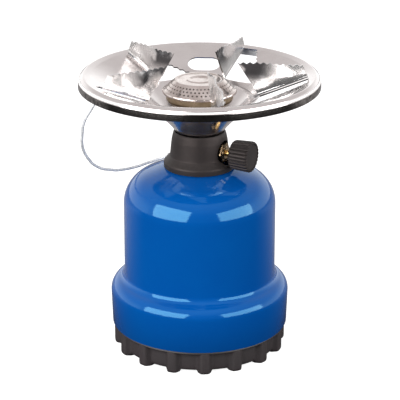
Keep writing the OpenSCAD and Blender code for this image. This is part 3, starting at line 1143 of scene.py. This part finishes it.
@dataclass
class PotDish:
    """Pressed dish with five pot blades lanced out of its floor."""

    turns: tuple[float, ...] = (20.0, 91.5, 160.0, 236.5, 309.0)
    outer_tip: tuple[float, float] = (31.82, 9.09)
    inner_tip: tuple[float, float] = (-4.88, 24.16)
    blade_t: float = 0.9
    teeth: int = 10
    sheet: float = 0.8
    slot_turn: float = 113.6
    slot_long: float = 20.6
    slot_wide: float = 13.0
    fold: float = 1.2
    slope: float = math.atan2(173.4 - 161.5, 65 - 36)

    def build(self) -> None:
        """Press the dish, lance the blades and dress both."""
        path = rounded([
            (6.6, 136.9, 0), (12.1, 136.9, 0.8), (13.4, 138.7, 1.5),
            (17, 143.2, 4), (32.4, 159.5, 2.2), (36, 161.5, 3),
            (65.4, 173.56, 3), (69.9, 174.5, 2.0), (72.0, 172.9, 1.2),
            (71.9, 171.9, 0.25), (72.9, 171.5, 0.5), (73.0, 168.0, 0.5),
            (73.0, 167.2, 0)], 6)
        dish = turn("dish_pan", walled(path, self.sheet), 216)
        for i in range(len(self.turns)):
            cut(dish, self.blade_cutter(i))
        cut(dish, self.slot_cutter())
        lug = self.lug()
        dish = join("dish_pan", [dish, lug])
        dress(dish, CHROME, "dish_chrome", "housing", "pan_dish", angle=30)
        for finish in (SHADED_SKIRT_CHROME, PALE_RIM_STRIP):
            dish.data.materials.append(RACK.get(finish))
        # Skirt faces take the dark painted-shade chrome; the inner rim strip
        # takes the pale painted-light finish.
        for face in dish.data.polygons:
            place = face.center / MM
            out = math.hypot(place.x, place.y)
            if place.z < 171.3 and out > 72.6:
                face.material_index = 1
            elif place.z < 172.5 and 71.4 < out < 72.4:
                face.material_index = 2
        first = self.blade()
        for i in range(len(self.turns)):
            twin = copy_of(first, f"pot_blade_{i + 1}")
            settle(twin, self.on_fold(i))
            dress(twin, BLADE_CHROME, "dish_chrome", "housing", angle=35)
        bpy.data.objects.remove(first)

    def on_fold(self, index: int) -> Matrix:
        """Place of a blade's fold line, with X along it and Z up the blade."""
        turned = math.radians(self.turns[index])
        return (Matrix.Rotation(turned, 4, "Z")
                @ Matrix.Translation((36 * MM, 0, 161.5 * MM))
                @ Matrix.Rotation(-self.slope, 4, "Y"))

    def outline(self, foot: float) -> list[tuple[float, float]]:
        """Outline of a blade along and up its fold, with a saw edge.

        Args:
            foot: height of its lower edge above the fold.

        Returns:
            Its corners in millimetres.
        """
        a, b = Vector(self.outer_tip), Vector(self.inner_tip)
        step = (b - a) / self.teeth
        into = Vector((step.y, -step.x)).normalized() * -0.9
        points = [(b.x * foot / b.y, foot), (31.8, foot)]
        for i in range(self.teeth):
            points += [tuple(a + step * (i + 0.12)),
                       tuple(a + step * (i + 0.42) + into),
                       tuple(a + step * (i + 0.58) + into),
                       tuple(a + step * (i + 0.88))]
        return points

    def blade_cutter(self, index: int) -> Piece:
        """Make the tool that opens the floor beside one blade."""
        corners = [(u, -v) for u, v in self.outline(-0.35)]
        tool = prism("blade_cutter", corners, 8)
        settle(tool, self.on_fold(index))
        return tool

    def slot_cutter(self) -> Piece:
        """Make the tool for the oval slot."""
        r, run = self.slot_wide / 2, (self.slot_long - self.slot_wide) / 2
        tool = prism("slot_cutter", arc(0, run, r, 0, 180, 20)
                     + arc(0, -run, r, 180, 360, 20), 6)
        turned = Matrix.Rotation(math.radians(self.slot_turn), 4, "Z")
        settle(tool, turned @ Matrix.Translation((48 * MM, 0, 166.4 * MM))
               @ Matrix.Rotation(-self.slope, 4, "Y"))
        return tool

    def blade(self) -> Piece:
        """Make one blade: cut out, bent at its foot and slightly dished.

        Returns:
            The blade, standing on the X axis.
        """
        points = [Vector((u * MM, 0, v * MM))
                  for u, v in self.outline(self.fold)]
        piece = draw_line("pot_blade", points)
        bpy.ops.mesh.edge_face_add()
        cuts = [Vector((0, 0, 3 + 2.5 * i)) for i in range(8)]
        cuts += [Vector((along, 0, 0)) for along in range(0, 32, 3)]
        for place in cuts:
            bpy.ops.mesh.select_all(action="SELECT")
            bpy.ops.mesh.bisect(plane_co=place * MM, plane_no=(
                (0, 0, 1) if place.z else (1, 0, 0)))
        for place, push in (((6, 0, 15), 1.5), ((20, 0, 9), -1.1)):
            centre = Vector(place)
            pick(piece, lambda p, c=centre: (p - c).length < 2.4)
            bpy.ops.transform.translate(
                value=(0, push * MM, 0), use_proportional_edit=True,
                proportional_edit_falloff="SMOOTH",
                proportional_size=11 * MM)
        foot = self.fold
        pick(piece, lambda p: p.z < foot + 0.05)
        bpy.ops.mesh.spin(steps=5, angle=math.pi / 2, axis=(1, 0, 0),
                          center=(0, foot * MM, foot * MM))
        end_edit()
        apply_modifier(piece, "SOLIDIFY", thickness=self.blade_t * MM,
                       offset=0.0)
        start_edit(piece)
        close_up()
        return piece

    def lug(self) -> Piece:
        """Make the lug under the rim that holds the rope's ferrule."""
        deselect_all()
        bpy.ops.mesh.primitive_cube_add(size=1)
        piece = bpy.context.object
        piece.name = "rope_lug"
        place = (Matrix.Rotation(math.radians(238), 4, "Z")
                 @ Matrix.Translation((68.5 * MM, 0, 170.4 * MM))
                 @ Matrix.Diagonal((5.6 * MM, 6 * MM, 4.9 * MM, 1)))
        settle(piece, place)
        apply_modifier(piece, "BEVEL", width=0.5 * MM, segments=3)
        return piece


class InnerWorks:
    """CAD nodes that stay as they are and only need their finish."""

    plan: dict[str, Finish] = {
        "slip_washer": WHITE_PLASTIC, "thread_ring": PLATED,
        "cartridge_seal": RUBBER, "seal_cup": PLATED,
        "piercing_needle": PLATED, "clamp_nut": BRASS,
        "bell_gasket": RUBBER, "valve_body": BRASS, "stem_seal": RUBBER,
        "gas_jet": BRASS, "mixing_tube": BRASS, "flame_disc": CAP_STEEL,
        "dish_nut": BRASS}

    def build(self) -> None:
        """Dress each node that shows its CAD mesh."""
        deselect_all()
        for name, finish in self.plan.items():
            mesh = NODES[name].data
            mesh.materials.clear()
            mesh.materials.append(RACK.get(finish))
            LOG.info("%s: %s", name, finish.name)


# --------------------------------------------------------------------------
# Studio
# --------------------------------------------------------------------------

@dataclass
class Studio:
    """Camera, lights, floor and surroundings."""

    distance: float = 1.07395
    height: float = 0.4915
    turn: float = 27.0
    pitch: float = 20.337
    lens: float = 167.83
    floor_size: float = 8.0
    floor_dim: tuple[float, float] = (0.012, 0.4)
    floor_glow: float = 0.8
    sky_behind: tuple[Colour, ...] = (
        (0.0, 1.35, 1.36), (0.26, 1.25, 1.25), (0.5, 0.72, 0.69))
    sky_in_front: tuple[Colour, ...] = (
        (0.0, 0.12, 0.12), (0.4, 0.17, 0.17), (0.82, 0.80, 0.75))

    def build(self) -> None:
        """Set up the camera, the lights, the floor and the world."""
        self.camera()
        self.floor()
        self.world()
        self.panel("left_softbox", -108, 19, 0.95, (1.0, 0.66), 14.0)
        self.panel("right_softbox", -6, 15, 0.95, (1.0, 0.5), 8.5)

    def camera(self) -> None:
        """Create the camera."""
        data = bpy.data.cameras.new("view")
        data.lens = self.lens
        data.sensor_width = 36.0
        data.shift_x = 0.001
        data.clip_start = 0.05
        data.clip_end = 50
        view = bpy.data.objects.new("view", data)
        turned = math.radians(self.turn)
        view.location = (self.distance * math.sin(turned),
                         -self.distance * math.cos(turned), self.height)
        view.rotation_euler = (math.radians(90 - self.pitch), 0, turned)
        bpy.context.scene.collection.objects.link(view)
        bpy.context.scene.camera = view

    def floor(self) -> None:
        """Lay a plain pale floor, which reflects darker in front."""
        deselect_all()
        bpy.ops.mesh.primitive_plane_add(size=self.floor_size)
        floor = bpy.context.object
        floor.name = "studio_floor"
        material = bpy.data.materials.new("pale_floor")
        material.use_nodes = True
        tree = material.node_tree
        shader = tree.nodes["Principled BSDF"].inputs
        for name, value in (("Roughness", 0.8), ("Specular IOR Level", 0.0),
                            ("Emission Strength", 1.0)):
            shader[name].default_value = value
        seen = add_node(tree, "LightPath").outputs["Is Camera Ray"]
        place = add_node(tree, "TexCoord").outputs["Object"]
        front = self.frontness(tree, place, -0.25, 0.05)
        dark, far = self.floor_dim
        shade = blend(tree, front, (far,) * 3, (dark,) * 3)
        for name, under, glow in (
                ("Base Color", shade, 0.5),
                ("Emission Color", (0.0,) * 3, self.floor_glow)):
            tree.links.new(blend(tree, seen, under, (glow,) * 3), shader[name])
        floor.data.materials.append(material)

    def world(self) -> None:
        """Soft surroundings: pale behind and above, dim in front."""
        world = bpy.data.worlds.new("studio_air")
        bpy.context.scene.world = world
        world.use_nodes = True
        tree = world.node_tree
        place = add_node(tree, "TexCoord").outputs["Generated"]
        halves = []
        for stops in (self.sky_behind, self.sky_in_front):
            ramp = add_node(tree, "ValToRGB", {0: height_of(tree, place)})
            band = ramp.color_ramp.elements
            for i, (height, red, rest) in enumerate(stops):
                mark = band[i] if i < 2 else band.new(height)
                mark.position = height
                mark.color = (red, rest, rest, 1)
            halves.append(ramp.outputs[0])
        front = self.frontness(tree, place, 0.0, 0.42)
        tree.links.new(blend(tree, front, *halves),
                       tree.nodes["Background"].inputs[0])

    def frontness(self, tree: Tree, place: Socket,
                  low: float, high: float) -> Socket:
        """Measure how far a place lies on the knob's near side.

        Args:
            tree: the node tree it is built in.
            place: socket with a place or a direction.
            low: distance that gives 0.
            high: distance that gives 1.

        Returns:
            Socket with a value from 0 to 1.
        """
        turned = math.radians(self.turn)
        along = add_node(tree, "VectorMath", {
            0: place, 1: (math.sin(turned), -math.cos(turned), 0)},
            operation="DOT_PRODUCT")
        return spread(tree, along.outputs["Value"], low, high,
                      interpolation_type="SMOOTHSTEP")

    def panel(self, name: str, azimuth: float, elevation: float, away: float,
              size: tuple[float, float], power: float) -> None:
        """Hang a soft light panel that looks at the stove.

        Args:
            name: the light's name.
            azimuth: direction from the stove, in degrees from +X.
            elevation: height angle in degrees.
            away: distance in metres.
            size: width and height in metres.
            power: radiant power in watts.
        """
        data = bpy.data.lights.new(name, "AREA")
        data.shape = "RECTANGLE"
        data.size, data.size_y = size
        data.energy = power
        lamp = bpy.data.objects.new(name, data)
        a, e = math.radians(azimuth), math.radians(elevation)
        way = Vector((math.cos(a) * math.cos(e), math.sin(a) * math.cos(e),
                      math.sin(e)))
        lamp.location = way * away + Vector((0, 0, 0.1))
        lamp.rotation_euler = way.to_track_quat("Z", "Y").to_euler()
        bpy.context.scene.collection.objects.link(lamp)


def main() -> None:
    """Build the studio and then every sub-assembly in order."""
    logging.basicConfig(level=logging.INFO, format="%(name)s %(message)s")
    deselect_all()
    bpy.context.scene.view_settings.view_transform = "Standard"
    for maker in (Studio(), Tether(), BellHousing(), BaseCup(), Cartridge(),
                  CollarShroud(), KnobValve(), Burner(), PotDish(),
                  InnerWorks()):
        LOG.info("building %s", type(maker).__name__)
        maker.build()
    deselect_all()


if __name__ == "__main__":
    main()
